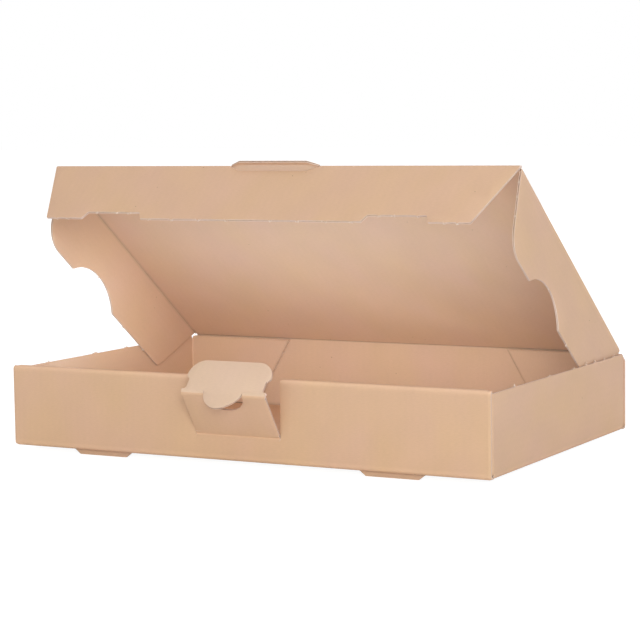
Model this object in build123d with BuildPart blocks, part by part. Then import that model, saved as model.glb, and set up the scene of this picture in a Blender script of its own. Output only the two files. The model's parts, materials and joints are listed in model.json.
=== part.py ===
from build123d import *
from math import cos, radians, sin, tan
import os

# Letter mailer box, folded from fine-flute corrugated board and standing half open.
# X runs to the right, Y to the back and Z up. The origin is the middle of the floor's underside.
# Each leaf that turns is drawn about its crease, which lies in the middle of the board.

# Board and folds, in millimetres and degrees
board = 1.4
fold_radius = 0.4
layer_gap = 0.15
crease_gap = 0.15
crease_relief = 0.4
seat_gap = 0.2

# Tray, outside sizes
box_width = 246.0
box_depth = 160.0
box_height = 38.0
lining_end_gap = 0.2

# Corner flaps, which the side walls turn inside the front and back walls
corner_foot_gap = 0.6
front_corner_length = 52.0
front_corner_taper = 5.0
rear_corner_length = 61.0
rear_corner_slant = 30.0

# Locking tabs of the front lining, which stand through slots in the floor
tab_centre = 75.0
tab_width = 32.5
tab_taper = 3.5
tab_drop = 2.6
tab_gap = 0.2

# Lid with its side flaps
lid_opening = 37.5
lid_side_gap = 0.3
lid_front_gap = 1.0
side_flap_depth = 34.7
side_flap_rear_start = 3.3
side_flap_rear_run = 20.0
side_flap_rear_corner = 3.0
side_flap_front_gap = 1.0
side_flap_front_inset = 12.0
side_flap_nose_radius = 13.5
notch_from_front = 59.5
notch_width = 40.0
notch_height = 9.0

# Front flap of the lid, with the slot that leaves a lip on the lid
front_flap_flare = 10.9
front_flap_foot_gap = 0.6
front_flap_taper = 12.0
slot_half_width = 23.2
slot_narrowing = 5.4
slot_depth = 3.8
slot_gap = 0.2
recess_inner = 57.0
recess_outer = 89.5
recess_side_run = 2.0
recess_height = 4.0

# Lock: a leaf of the front wall, the panel that tucks in over it, and its thumb tongue
lock_width = 43.0
lock_crease_height = 11.85
lock_lean = 32.9
lock_side_gap = 0.25
tuck_rise = 50.0
tuck_length = 17.0
tuck_neck_inset = 1.9
tuck_neck_start = 2.6
tuck_neck_end = 6.8
tuck_ear_start = 8.8
tuck_corner_radius = 7.0
thumb_radius = 9.4
thumb_gap = 0.2

# Sizes that follow
outer_radius = fold_radius + board
half_width = box_width / 2
half_depth = box_depth / 2
side_top = box_height - board - seat_gap
corner_y = half_depth - board - layer_gap
lining_outer_y = -corner_y + board + layer_gap
lining_inner_y = lining_outer_y + board
side_run = corner_y - outer_radius
corner_foot = board + corner_foot_gap


def left_of(points, distance):
    """Points of the same right-angled line, shifted to its left."""
    shifted = []
    for index, (across, up) in enumerate(points):
        before = points[max(index - 1, 0)]
        after = points[min(index + 1, len(points) - 1)]
        legs = [(across - before[0], up - before[1]), (after[0] - across, after[1] - up)]
        for run, rise in legs:
            across -= distance * (rise > 0) - distance * (rise < 0)
            up += distance * (run > 0) - distance * (run < 0)
        shifted.append((across, up))
    return shifted


def folded_board(*points):
    """Face of the board folded along a right-angled line, which is its outer side. The board lies to the left."""
    with BuildLine() as outline:
        outside = FilletPolyline(*points, radius=outer_radius)
        inside = FilletPolyline(*left_of(points, board), radius=fold_radius)
        Line(outside @ 0, inside @ 0)
        Line(outside @ 1, inside @ 1)
    make_face(outline.edges())


def leaf_section(length):
    """Face of a flat leaf seen end on: it turns about a half-round edge at its crease."""
    Rectangle(length, board, align=(Align.MIN, Align.CENTER))
    Circle(board / 2)


# Tray: floor, lined front wall, back wall and side walls with their corner flaps
with BuildPart() as tray:
    lining_foot = board + seat_gap
    with BuildSketch(Plane.YZ.offset(-half_width)):
        folded_board(
            (lining_inner_y, lining_foot),
            (lining_inner_y, box_height),
            (-half_depth, box_height),
            (-half_depth, 0),
            (half_depth, 0),
            (half_depth, side_top),
        )
    extrude(amount=box_width)

    # The lining is narrower than the front wall, so that it goes down between the side walls
    lining_cut = board + lining_end_gap
    with BuildSketch(Plane.XY.offset(lining_foot)):
        with GridLocations(box_width - lining_cut, 0, 2, 1):
            with Locations((0, -half_depth + board)):
                Rectangle(lining_cut, lining_inner_y + half_depth, align=(Align.CENTER, Align.MIN))
    extrude(amount=box_height, mode=Mode.SUBTRACT)

    # The floor's long edges make way for the folds of the side walls
    with BuildSketch():
        with GridLocations(box_width - outer_radius, 0, 2, 1):
            Rectangle(outer_radius, 2 * side_run)
    extrude(amount=board, mode=Mode.SUBTRACT)
    with BuildSketch(Plane.XZ.offset(-side_run)):
        folded_board((half_width - 2 * outer_radius, 0), (half_width, 0), (half_width, side_top))
        mirror(about=Plane.YZ)
    extrude(amount=2 * side_run)

    # Bends from the side walls into the corner flaps
    with BuildSketch(Plane.XY.offset(corner_foot)):
        bend_leg = outer_radius + board
        bend_x = half_width - bend_leg
        bend_y = corner_y - bend_leg
        folded_board((bend_x, -corner_y), (half_width, -corner_y), (half_width, -bend_y))
        folded_board((half_width, bend_y), (half_width, corner_y), (bend_x, corner_y))
        mirror(about=Plane.YZ)
    extrude(amount=side_top - corner_foot)

    flap_root = half_width - outer_radius
    with BuildSketch(Plane.XZ.offset(corner_y - board)):
        front_tip = half_width - front_corner_length
        Polygon(
            (flap_root, corner_foot),
            (flap_root, side_top),
            (front_tip, side_top - front_corner_taper),
            (front_tip, corner_foot + front_corner_taper),
            align=None,
        )
        mirror(about=Plane.YZ)
    extrude(amount=board)
    with BuildSketch(Plane.XZ.offset(-corner_y)):
        rear_tip = half_width - rear_corner_length
        rear_slant_run = (side_top - corner_foot) * tan(radians(rear_corner_slant))
        Polygon(
            (flap_root, corner_foot),
            (flap_root, side_top),
            (rear_tip, side_top),
            (rear_tip + rear_slant_run, corner_foot),
            align=None,
        )
        mirror(about=Plane.YZ)
    extrude(amount=board)

    # Locking tabs below the lining, and their slots through the floor
    with BuildSketch(Plane.XY):
        with GridLocations(2 * tab_centre, 0, 2, 1):
            with Locations((0, (lining_outer_y + lining_inner_y) / 2)):
                Rectangle(tab_width + 2 * tab_gap, board + 2 * tab_gap)
    extrude(amount=board, mode=Mode.SUBTRACT)
    with BuildSketch(Plane.XZ.offset(-lining_inner_y)):
        with Locations((tab_centre, 0)):
            Polygon(
                (-tab_width / 2, lining_foot),
                (-tab_width / 2, 0),
                (-tab_width / 2 + tab_taper, -tab_drop),
                (tab_width / 2 - tab_taper, -tab_drop),
                (tab_width / 2, 0),
                (tab_width / 2, lining_foot),
                align=None,
            )
        mirror(about=Plane.YZ)
    extrude(amount=board)

    # Window that the lock leaves in the front wall and its lining
    window_foot = lock_crease_height - board / 2 - crease_gap
    with BuildSketch(Plane.XZ.offset(-lining_inner_y)):
        with Locations((0, window_foot)):
            Rectangle(lock_width + 2 * lock_side_gap, box_height, align=(Align.CENTER, Align.MIN))
    extrude(amount=half_depth + lining_inner_y, mode=Mode.SUBTRACT)
tray.part.label = "tray"

# The lid's own frame: its hinge crease, the way to its front edge, and its outer side
hinge = Vector(0, half_depth - board / 2, box_height - board / 2)
lid_forward = Vector(0, -cos(radians(lid_opening)), sin(radians(lid_opening)))
lid_outward = Vector(0, sin(radians(lid_opening)), cos(radians(lid_opening)))
fold_reach = hinge.Y - (lining_inner_y + lid_front_gap + board / 2)
lid_width = box_width - 2 * (board + lid_side_gap)
lip_half_width = slot_half_width - slot_gap

# Lid: top panel, side flaps turned down from it, and the lip that stands over the slot
with BuildPart() as lid:
    panel_end = fold_reach - board / 2 - crease_gap
    panel_under = -board / 2
    flap_edge = board / 2 - side_flap_depth
    with BuildSketch(Plane(hinge, x_dir=(1, 0, 0), z_dir=lid_forward)):
        folded_board(
            (lid_width / 2, flap_edge),
            (lid_width / 2, board / 2),
            (-lid_width / 2, board / 2),
            (-lid_width / 2, flap_edge),
        )
    extrude(amount=panel_end)

    # Side view: the panel edge on, and the cut outline of the side flaps
    with BuildSketch(Plane(hinge, x_dir=lid_forward, z_dir=(-1, 0, 0))) as side_view:
        rear_low = side_flap_rear_start + side_flap_rear_run
        front_top = panel_end - side_flap_front_gap
        front_low = front_top - side_flap_front_inset
        Polygon(
            (side_flap_rear_start, 0),
            (rear_low, flap_edge),
            (front_low, flap_edge),
            (front_top, panel_under),
            (front_top, 0),
            align=None,
        )
        fillet(side_view.vertices().sort_by_distance((rear_low, flap_edge))[0], side_flap_rear_corner)
        fillet(side_view.vertices().sort_by_distance((front_low, flap_edge))[0], side_flap_nose_radius)
        notch_radius = ((notch_width / 2) ** 2 + notch_height**2) / (2 * notch_height)
        with Locations((panel_end - notch_from_front, flap_edge + notch_height - notch_radius)):
            Circle(notch_radius, mode=Mode.SUBTRACT)
        Rectangle(panel_end, board, align=(Align.MIN, Align.CENTER))
        chamfer(side_view.vertices().sort_by_distance((panel_end, panel_under))[0], crease_relief)
    extrude(amount=lid_width, both=True, mode=Mode.INTERSECT)

    # Half-round rear edge, on which the lid turns
    with BuildSketch(Plane(hinge, x_dir=lid_forward, z_dir=(-1, 0, 0))):
        Circle(board / 2)
    extrude(amount=lid_width / 2 - outer_radius, both=True)

    # Lip cut from the front flap, straight on from the top panel
    with BuildSketch(Plane(hinge, x_dir=(1, 0, 0), z_dir=lid_outward)):
        lip_root = -panel_end + board
        lip_shoulder = -fold_reach - board / 2
        lip_edge = -fold_reach - slot_depth + slot_gap
        Polygon(
            (-lip_half_width, lip_root),
            (lip_half_width, lip_root),
            (lip_half_width, lip_shoulder),
            (lip_half_width - slot_narrowing, lip_edge),
            (slot_narrowing - lip_half_width, lip_edge),
            (-lip_half_width, lip_shoulder),
            align=None,
        )
    extrude(amount=board / 2, both=True)
lid.part.label = "lid"

# Front flap: it folds down from the lid's front edge and goes inside the front wall
flap_lean = radians(lid_opening + front_flap_flare)
flap_down = Vector(0, -sin(flap_lean), -cos(flap_lean))
flap_outward = Vector(0, -cos(flap_lean), sin(flap_lean))
flap_crease = hinge + lid_forward * fold_reach
with BuildPart() as front_flap:
    flap_length = hinge.Z - board - front_flap_foot_gap
    flap_half_width = lid_width / 2
    with BuildSketch(Plane(flap_crease, x_dir=flap_down, z_dir=(1, 0, 0))):
        leaf_section(flap_length)
    extrude(amount=flap_half_width, both=True)
    with BuildSketch(Plane(flap_crease, x_dir=(1, 0, 0), z_dir=flap_outward)):
        recess_top = recess_height - flap_length
        slot_shoulder = -board / 2 - slot_gap
        Polygon(
            (0, board),
            (flap_half_width, board),
            (flap_half_width, 0),
            (flap_half_width - front_flap_taper, -flap_length),
            (recess_outer, -flap_length),
            (recess_outer - recess_side_run, recess_top),
            (recess_inner + recess_side_run, recess_top),
            (recess_inner, -flap_length),
            (0, -flap_length),
            align=None,
        )
        mirror(about=Plane.YZ)
        Polygon(
            (-slot_half_width, board),
            (slot_half_width, board),
            (slot_half_width, slot_shoulder),
            (slot_half_width - slot_narrowing, -slot_depth),
            (slot_narrowing - slot_half_width, -slot_depth),
            (-slot_half_width, slot_shoulder),
            align=None,
            mode=Mode.SUBTRACT,
        )
    extrude(amount=board, both=True, mode=Mode.INTERSECT)
front_flap.part.label = "front_flap"

# Lock leaf: cut from the front wall, it leans out on its lower crease
lock_lean_angle = radians(lock_lean)
lock_crease = Vector(0, -half_depth + board / 2, lock_crease_height)
lock_up = Vector(0, -sin(lock_lean_angle), cos(lock_lean_angle))
lock_outward = Vector(0, -cos(lock_lean_angle), -sin(lock_lean_angle))
tuck_reach = side_top - board / 2 - lock_crease_height
with BuildPart() as lock_flap:
    lock_end = tuck_reach - board / 2 - crease_gap
    with BuildSketch(Plane(lock_crease, x_dir=lock_up, z_dir=(1, 0, 0))):
        leaf_section(lock_end)
    extrude(amount=lock_width / 2, both=True)
    with BuildSketch(Plane(lock_crease, x_dir=(1, 0, 0), z_dir=lock_outward).offset(-board)):
        with Locations((0, tuck_reach)):
            Circle(thumb_radius + thumb_gap)
    extrude(amount=2 * board, mode=Mode.SUBTRACT)
lock_flap.part.label = "lock_flap"

# Tuck panel: it folds over the lock leaf, with ears behind a neck and a thumb tongue in front
tuck_rise_angle = radians(tuck_rise)
tuck_crease = lock_crease + lock_up * tuck_reach
tuck_inward = Vector(0, cos(tuck_rise_angle), sin(tuck_rise_angle))
tuck_upward = Vector(0, -sin(tuck_rise_angle), cos(tuck_rise_angle))
tuck_face = Plane(tuck_crease, x_dir=(1, 0, 0), z_dir=tuck_upward)
with BuildPart() as tuck_panel:
    with BuildSketch(Plane(tuck_crease, x_dir=tuck_inward, z_dir=(1, 0, 0))):
        leaf_section(tuck_length)
    extrude(amount=lock_width / 2, both=True)
    with BuildSketch(tuck_face) as tuck_outline:
        ear = lock_width / 2
        neck = ear - tuck_neck_inset
        Polygon(
            (0, -board),
            (ear, -board),
            (ear, board / 2),
            (neck, tuck_neck_start),
            (neck, tuck_neck_end),
            (ear, tuck_ear_start),
            (ear, tuck_length),
            (0, tuck_length),
            align=None,
        )
        mirror(about=Plane.YZ)
        far_corners = tuck_outline.vertices().group_by(Axis.Y)[-1].sort_by(Axis.X)
        fillet([far_corners[0], far_corners[-1]], tuck_corner_radius)
    extrude(amount=board, both=True, mode=Mode.INTERSECT)
    with BuildSketch(tuck_face) as thumb_tongue:
        Circle(thumb_radius)
        split(bisect_by=Plane.XZ, keep=Keep.TOP)
    extrude(amount=board / 2, both=True)
tuck_panel.part.label = "tuck_panel"

os.makedirs("parts", exist_ok=True)
export_step(tray.part, "parts/tray.step")
export_step(lid.part, "parts/lid.step")
export_step(front_flap.part, "parts/front_flap.step")
export_step(lock_flap.part, "parts/lock_flap.step")
export_step(tuck_panel.part, "parts/tuck_panel.step")
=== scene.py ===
"""Letter mailer box, die-cut and folded from one sheet of fine-flute board, standing half open.

Every leaf is built as real corrugated board: two liners with a fluted medium between them, cut to its
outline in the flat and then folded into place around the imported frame.
"""

from __future__ import annotations

import json
import logging
import math
import random
from collections.abc import Callable, Iterator, Sequence
from dataclasses import dataclass, field
from enum import Enum

import bpy
import numpy as np
from mathutils import Matrix, Vector
from mathutils.geometry import delaunay_2d_cdt

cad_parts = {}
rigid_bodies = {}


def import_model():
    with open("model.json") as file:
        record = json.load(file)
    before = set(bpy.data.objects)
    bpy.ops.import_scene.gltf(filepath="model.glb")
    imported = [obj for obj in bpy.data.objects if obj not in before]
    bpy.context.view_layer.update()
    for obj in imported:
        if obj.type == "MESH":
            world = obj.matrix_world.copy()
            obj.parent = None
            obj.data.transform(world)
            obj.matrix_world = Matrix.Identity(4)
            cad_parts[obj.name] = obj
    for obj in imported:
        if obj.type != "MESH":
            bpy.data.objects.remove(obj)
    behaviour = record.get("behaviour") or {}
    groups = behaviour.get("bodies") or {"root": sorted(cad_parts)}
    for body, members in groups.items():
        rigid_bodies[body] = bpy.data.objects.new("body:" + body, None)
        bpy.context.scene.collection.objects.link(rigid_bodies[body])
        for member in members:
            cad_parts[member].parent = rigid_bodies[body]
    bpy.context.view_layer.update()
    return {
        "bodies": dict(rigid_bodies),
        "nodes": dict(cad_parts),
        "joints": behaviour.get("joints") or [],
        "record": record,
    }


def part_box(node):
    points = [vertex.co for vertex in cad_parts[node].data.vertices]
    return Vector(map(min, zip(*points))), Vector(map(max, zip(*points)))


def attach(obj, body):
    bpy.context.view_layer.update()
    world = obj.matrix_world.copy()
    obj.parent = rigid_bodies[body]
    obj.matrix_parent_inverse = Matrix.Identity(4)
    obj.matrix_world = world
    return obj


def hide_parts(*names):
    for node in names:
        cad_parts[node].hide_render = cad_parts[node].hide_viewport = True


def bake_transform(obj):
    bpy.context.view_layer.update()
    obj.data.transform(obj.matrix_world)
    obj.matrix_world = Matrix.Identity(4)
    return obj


LOG = logging.getLogger("mailer_box")
MM = 0.001
BLANK_MAP = "blank"
TONE_AND_LIGHT_ATTRIBUTE = "tone_and_painted_light"
SHARP_ANGLE = math.radians(32.0)
SAME_PLACE = 1e-9
HAIR = 1e-7
ACROSS = Vector((1, 0, 0))
UP = Vector((0, 0, 1))

Flat = tuple[float, float]
Loop = list[Flat]
Triple = tuple[float, float, float]
Array = np.ndarray
Folder = Callable[[Array, Array, Array], Array]
HalfCutter = Callable[[random.Random, list[Flat]], Loop]
Material = bpy.types.Material
Socket = bpy.types.NodeSocket


class Face(Enum):
    """The kinds of surface that a cut piece of board shows."""

    OUTSIDE = 0
    INSIDE = 1
    CUT = 2
    FLUTE = 3
    # Outside paper drawn paler and less saturated, a painted sheen of the light from above on the tuck
    # panel.
    PAINTED_SHEEN = 4


@dataclass(frozen=True)
class Board:
    """Sizes of the board and of its folds, in metres."""

    thickness: float = 1.4 * MM
    liner: float = 0.24 * MM
    medium: float = 0.2 * MM
    flute_pitch: float = 3.4 * MM
    flute_steps: int = 6
    outer_radius: float = 1.8 * MM
    crease_half: float = 0.9 * MM
    bend_steps: int = 4
    grid: float = 12.0 * MM
    crush_reach: float = 1.3 * MM
    crush_bend: float = 0.35
    crush_across: float = 0.2 * MM
    crush_along: float = 0.31 * MM

    @property
    def middle(self) -> float:
        """Depth of the board's middle below its outer side."""
        return self.thickness / 2

    @property
    def bend_length(self) -> float:
        """Length of a right-angled bend along the board's middle."""
        return (self.outer_radius - self.middle) * math.pi / 2

    @property
    def swing(self) -> float:
        """Half the height through which the medium's middle swings."""
        return self.middle - self.liner - self.medium / 2

    @property
    def crush_rings(self) -> tuple[float, float]:
        """Distances from a cut at which the board has points of its own, to carry its crushed edge."""
        return (self.crush_bend * self.crush_reach, self.crush_reach)


BOARD = Board()


def linear(colour: Sequence[float]) -> tuple[float, ...]:
    """Turn a colour as it looks on screen into the renderer's own values.

    Args:
        colour: Red, green and blue from 0 to 255.

    Returns:
        Linear red, green and blue.
    """
    shares = [channel / 255 for channel in colour]
    return tuple(c / 12.92 if c <= 0.04045 else ((c + 0.055) / 1.055) ** 2.4 for c in shares)


def outer_side(along: Vector) -> Vector:
    """Return the direction a quarter turn from another one, in the box's side view."""
    return Vector((0, along.z, -along.y))


def add_object(name: str, data: bpy.types.ID) -> bpy.types.Object:
    """Make an object and link it to the scene.

    Args:
        name: Its name.
        data: Its mesh, lamp or camera.

    Returns:
        The object.
    """
    made = bpy.data.objects.new(name, data)
    bpy.context.scene.collection.objects.link(made)
    return made


@dataclass(frozen=True)
class Straight:
    """A flat stretch of a folded line."""

    origin: Array
    heading: Array
    length: float

    def place(self, s: Array, t: Array) -> Array:
        """Return the points at distance s along the stretch and depth t to its left."""
        left = np.array((-self.heading[1], self.heading[0]))
        return self.origin + np.outer(s, self.heading) + np.outer(t, left)


@dataclass(frozen=True)
class Bend:
    """A right-angled left turn of a folded line."""

    centre: Array
    heading: Array
    length: float

    def place(self, s: Array, t: Array) -> Array:
        """Place points on the bend.

        Args:
            s: Distances round it along the board's middle.
            t: Depths to its left.

        Returns:
            The points, one a row.
        """
        turned = s / self.length * math.pi / 2
        outward = np.array((self.heading[1], -self.heading[0]))
        radial = np.outer(np.cos(turned), outward) + np.outer(np.sin(turned), self.heading)
        return self.centre + radial * (BOARD.outer_radius - t)[:, None]


class FoldLine:
    """A line of left turns seen end on: the outer side of the board, which lies to its left."""

    def __init__(self, *corners: Flat) -> None:
        """Lay out the stretches and bends.

        Args:
            corners: Corners of the outer side, in metres.
        """
        self.parts: list[Straight | Bend] = []
        self.starts: list[float] = []
        self.leg_starts: list[float] = []
        self.leg_origins: list[Array] = []
        self.headings: list[Array] = []
        points = [np.array(corner, float) for corner in corners]
        at = 0.0
        for number in range(len(points) - 1):
            run = points[number + 1] - points[number]
            heading = run / np.linalg.norm(run)
            before = BOARD.outer_radius if number else 0.0
            after = BOARD.outer_radius if number < len(points) - 2 else 0.0
            origin = points[number] + heading * before
            length = float(np.linalg.norm(run)) - before - after
            self.leg_starts.append(at)
            self.leg_origins.append(origin)
            self.headings.append(heading)
            at = self.add(Straight(origin, heading, length), at)
            if after:
                left = np.array((-heading[1], heading[0]))
                centre = points[number + 1] - heading * after + left * BOARD.outer_radius
                at = self.add(Bend(centre, heading, BOARD.bend_length), at)
        self.length = at

    def add(self, part: Straight | Bend, at: float) -> float:
        """Append one stretch or bend.

        Args:
            part: The stretch or bend.
            at: Where it starts along the line.

        Returns:
            Where it ends.
        """
        self.parts.append(part)
        self.starts.append(at)
        return at + part.length

    def at(self, leg: int, *point: float) -> float:
        """Return the distance along the line of a point beside one of its legs."""
        offset = np.array(point) - self.leg_origins[leg]
        return self.leg_starts[leg] + float(offset @ self.headings[leg])

    def bends(self) -> list[tuple[float, float]]:
        """Return where each bend starts and ends."""
        found = zip(self.parts, self.starts)
        return [(start, start + part.length) for part, start in found if isinstance(part, Bend)]

    def place(self, s: Array, t: Array) -> tuple[Array, Array]:
        """Place points of the flat sheet on the folded line.

        Args:
            s: Distances along the board's middle.
            t: Depths below its outer side.

        Returns:
            The two coordinates of each point in the plane of the line.
        """
        result = np.empty((len(s), 2))
        index = np.clip(np.searchsorted(self.starts, s, side="right") - 1, 0, len(self.parts) - 1)
        for number, part in enumerate(self.parts):
            chosen = index == number
            if chosen.any():
                result[chosen] = part.place(s[chosen] - self.starts[number], t[chosen])
        return result[:, 0], result[:, 1]


def bend_rows(start: float, end: float) -> list[float]:
    """Return the lines that split a bend into flat facets, with one line beyond it on each side."""
    rows = [start + (end - start) * step / BOARD.bend_steps for step in range(BOARD.bend_steps + 1)]
    return [start - BOARD.thickness, *rows, end + BOARD.thickness]


def rounded(points: Loop, radii: dict[int, float], steps: int = 10) -> Loop:
    """Round some corners of an open outline with tangent arcs.

    Args:
        points: The outline's corners.
        radii: Radius for each rounded corner, by its place in the list.
        steps: Facets in each arc.

    Returns:
        The outline with those corners replaced by points on their arcs.
    """
    result: Loop = []
    for number, corner in enumerate(points):
        if number not in radii:
            result.append(corner)
            continue
        here = Vector(corner)
        back = (Vector(points[number - 1]) - here).normalized()
        on = (Vector(points[number + 1]) - here).normalized()
        half = back.angle(on) / 2
        radius = radii[number]
        centre = here + (back + on).normalized() * (radius / math.sin(half))
        first = here + back * (radius / math.tan(half)) - centre
        last = here + on * (radius / math.tan(half)) - centre
        sweep = first.angle_signed(last)
        for step in range(steps + 1):
            turn = -sweep * step / steps
            arm = Vector((first.x * math.cos(turn) - first.y * math.sin(turn),
                          first.x * math.sin(turn) + first.y * math.cos(turn)))
            result.append(tuple(centre + arm))
    return result


@dataclass(frozen=True)
class Tear:
    """Small torn bumps where the knife left the sheet joined to its waste."""

    reach: float = 0.55 * MM
    width: float = 1.3 * MM
    reaches: tuple[float, float] = (0.5, 1.2)
    widths: tuple[float, float] = (0.6, 1.3)
    fibre_height: float = 0.4
    shape: tuple[Flat, ...] = ((-0.5, 0.0), (-0.28, 0.7), (-0.05, 0.55), (0.2, 1.0), (0.5, 0.0))

    def along(
        self, start: Flat, end: Flat, places: Sequence[float], rng: random.Random, torn: list[Flat]
    ) -> Loop:
        """Return a straight cut with a torn bump at each place.

        Args:
            start: Where the cut starts.
            end: Where it ends.
            places: Shares of the way along it, in order.
            rng: Source of the bumps' unevenness.
            torn: Takes the place of each bump.

        Returns:
            The points after the start, the end included. Bumps stand out to the cut's right.
        """
        a, b = Vector(start), Vector(end)
        heading = (b - a).normalized()
        right = Vector((heading.y, -heading.x))
        points: Loop = []
        for place in places:
            middle = a.lerp(b, place)
            width = self.width * rng.uniform(*self.widths)
            reach = self.reach * rng.uniform(*self.reaches)
            torn.append(tuple(middle + right * (self.fibre_height * reach)))
            for across, out in self.shape:
                points.append(tuple(middle + heading * (across * width) + right * (out * reach)))
        points.append(end)
        return points


def runs_of(loops: Sequence[Loop]) -> Iterator[tuple[Flat, Flat]]:
    """Yield the two ends of each straight run of an outline and its holes."""
    for loop in loops:
        yield from zip(loop, loop[1:] + loop[:1])


def gaps(points: Array, start: Flat, end: Flat) -> Array:
    """Measure how far points lie from a straight run.

    Args:
        points: Points in the flat, one a row.
        start: Where the run starts.
        end: Where it ends.

    Returns:
        A distance for each point.
    """
    run = np.subtract(end, start)
    length = float(np.linalg.norm(run))
    share = np.clip((points - start) @ run / length**2, 0, 1)
    return np.linalg.norm(points - start - share[:, None] * run, axis=1)


def inside(loops: Sequence[Loop], points: Array) -> Array:
    """Tell which points lie inside a cut outline with holes.

    Args:
        loops: The outline and its holes.
        points: Points in the flat, one a row.

    Returns:
        True for each point inside.
    """
    found = np.zeros(len(points), bool)
    for (x0, s0), (x1, s1) in runs_of(loops):
        if s0 == s1:
            continue
        spans = (points[:, 1] > s0) != (points[:, 1] > s1)
        crossing = x0 + (points[:, 1] - s0) / (s1 - s0) * (x1 - x0)
        found ^= spans & (points[:, 0] < crossing)
    return found


def inset(loop: Loop, distance: float, hole: bool, mitre: float = 0.4) -> Loop:
    """Return an outline moved into the board by a distance.

    Args:
        loop: The outline.
        distance: How far it moves.
        hole: Whether the board lies outside it.
        mitre: Least divisor at a corner, which keeps the moved point of a sharp one near it.

    Returns:
        One point for each of its corners.
    """
    corners = np.array(loop)
    nexts = np.roll(corners, -1, axis=0)
    turned = float(np.sum(corners[:, 0] * nexts[:, 1] - nexts[:, 0] * corners[:, 1])) > 0
    sign = 1.0 if turned != hole else -1.0
    runs = nexts - corners
    runs /= np.linalg.norm(runs, axis=1)[:, None]
    normals = sign * np.column_stack((-runs[:, 1], runs[:, 0]))
    both = normals + np.roll(normals, 1, axis=0)
    lengths = np.maximum(np.sum(both * normals, axis=1), mitre)
    moved = corners + both / lengths[:, None] * distance
    return [(float(x), float(s)) for x, s in moved]


def crush(loops: Sequence[Loop], creased: Sequence[float], points: Array) -> Array:
    """Return how far the knife has pressed each liner in at each point.

    Args:
        loops: The cut outline and its holes.
        creased: Where along the flutes the outline ends in a crease, not a cut.
        points: Points in the flat, one a row.

    Returns:
        A depth in metres for each point: most at the cut, nothing a little way in from it.
    """
    nearest = np.full(len(points), np.inf)
    pressed = np.zeros(len(points))
    for start, end in runs_of(loops):
        if start[1] == end[1] and any(abs(start[1] - s) < SAME_PLACE for s in creased):
            continue
        run = np.subtract(end, start)
        flutes = (run[1] / float(np.linalg.norm(run))) ** 2
        gap = gaps(points, start, end)
        closer = gap < nearest
        nearest[closer] = gap[closer]
        pressed[closer] = BOARD.crush_across + (BOARD.crush_along - BOARD.crush_across) * flutes
    fade = np.clip(1 - nearest / BOARD.crush_reach, 0, 1)
    return pressed * fade * fade * (3 - 2 * fade)


def crossings(loops: Sequence[Loop], x: float) -> list[float]:
    """Find where a line along the flutes crosses the outline.

    Args:
        loops: The cut outline and its holes.
        x: Where the line lies across the flutes.

    Returns:
        The places along it, in order.
    """
    found = []
    for (x0, s0), (x1, s1) in runs_of(loops):
        if (x0 <= x) != (x1 <= x):
            found.append(s0 + (x - x0) / (x1 - x0) * (s1 - s0))
    return sorted(found)


@dataclass(frozen=True)
class Mark:
    """A line of the flat sheet along which the paper is drawn paler or darker: the paleness of fibres
    stretched at a fold, painted shade in creases, painted shadow along cut edges and painted highlight on a
    ridge.
    """

    start: Flat
    end: Flat
    reach: float = BOARD.bend_length
    amount: float = 1.0

    def at(self, flat: Array) -> Array:
        """Return each point's mark: the whole amount on the line, and nothing beyond its reach."""
        return self.amount * np.clip(1 - gaps(flat, self.start, self.end) / self.reach, 0, 1)


@dataclass
class MeshParts:
    """Vertices and faces of a piece while it is put together."""

    points: list[Array] = field(default_factory=list)
    flats: list[Array] = field(default_factory=list)
    tones_and_painted_light: list[Array] = field(default_factory=list)
    faces: list[list[int]] = field(default_factory=list)
    kinds: list[int] = field(default_factory=list)
    count: int = 0

    def add(
        self,
        points: Array,
        flat: Array,
        tone_and_painted_light: Array,
        faces: list[list[int]],
        kinds: list[int],
    ) -> None:
        """Add a shell.

        Args:
            points: Its vertices in space.
            flat: Where each lies in the flat sheet.
            tone_and_painted_light: How much of a marked line each lies on, drawn as fold paleness, painted
                shade or painted highlight.
            faces: Its faces, by vertex.
            kinds: The kind of each face.
        """
        self.points.append(points)
        self.flats.append(flat)
        self.tones_and_painted_light.append(tone_and_painted_light)
        self.faces.extend([[corner + self.count for corner in face] for face in faces])
        self.kinds.extend(kinds)
        self.count += len(points)

    def build(self, name: str, materials: Sequence[Material]) -> bpy.types.Object:
        """Make the object, with its place in the flat sheet as its UV map.

        Args:
            name: The piece's name.
            materials: One for each kind of face.

        Returns:
            The linked object.
        """
        mesh = bpy.data.meshes.new(name)
        points, flats, tones_and_painted_light = (np.concatenate(part) for part in (self.points, self.flats, self.tones_and_painted_light))
        mesh.from_pydata(points.tolist(), [], self.faces)
        for material in materials:
            mesh.materials.append(material)
        mesh.polygons.foreach_set("material_index", self.kinds)
        corners = np.empty(len(mesh.loops), np.int32)
        mesh.loops.foreach_get("vertex_index", corners)
        mesh.uv_layers.new(name=BLANK_MAP).data.foreach_set("uv", flats[corners].astype(np.float32).ravel())
        # Marks along folds and edges, which the finishes draw as fold paleness, painted shade, painted
        # shadow or painted highlight.
        layer = mesh.attributes.new(TONE_AND_LIGHT_ATTRIBUTE, "FLOAT", "POINT")
        layer.data.foreach_set("value", tones_and_painted_light.astype(np.float32))
        mesh.shade_smooth()
        mesh.set_sharp_from_angle(angle=SHARP_ANGLE)
        mesh.validate()
        LOG.info("%s: %d vertices, %d faces", name, len(mesh.vertices), len(mesh.polygons))
        return add_object(name, mesh)


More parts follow.
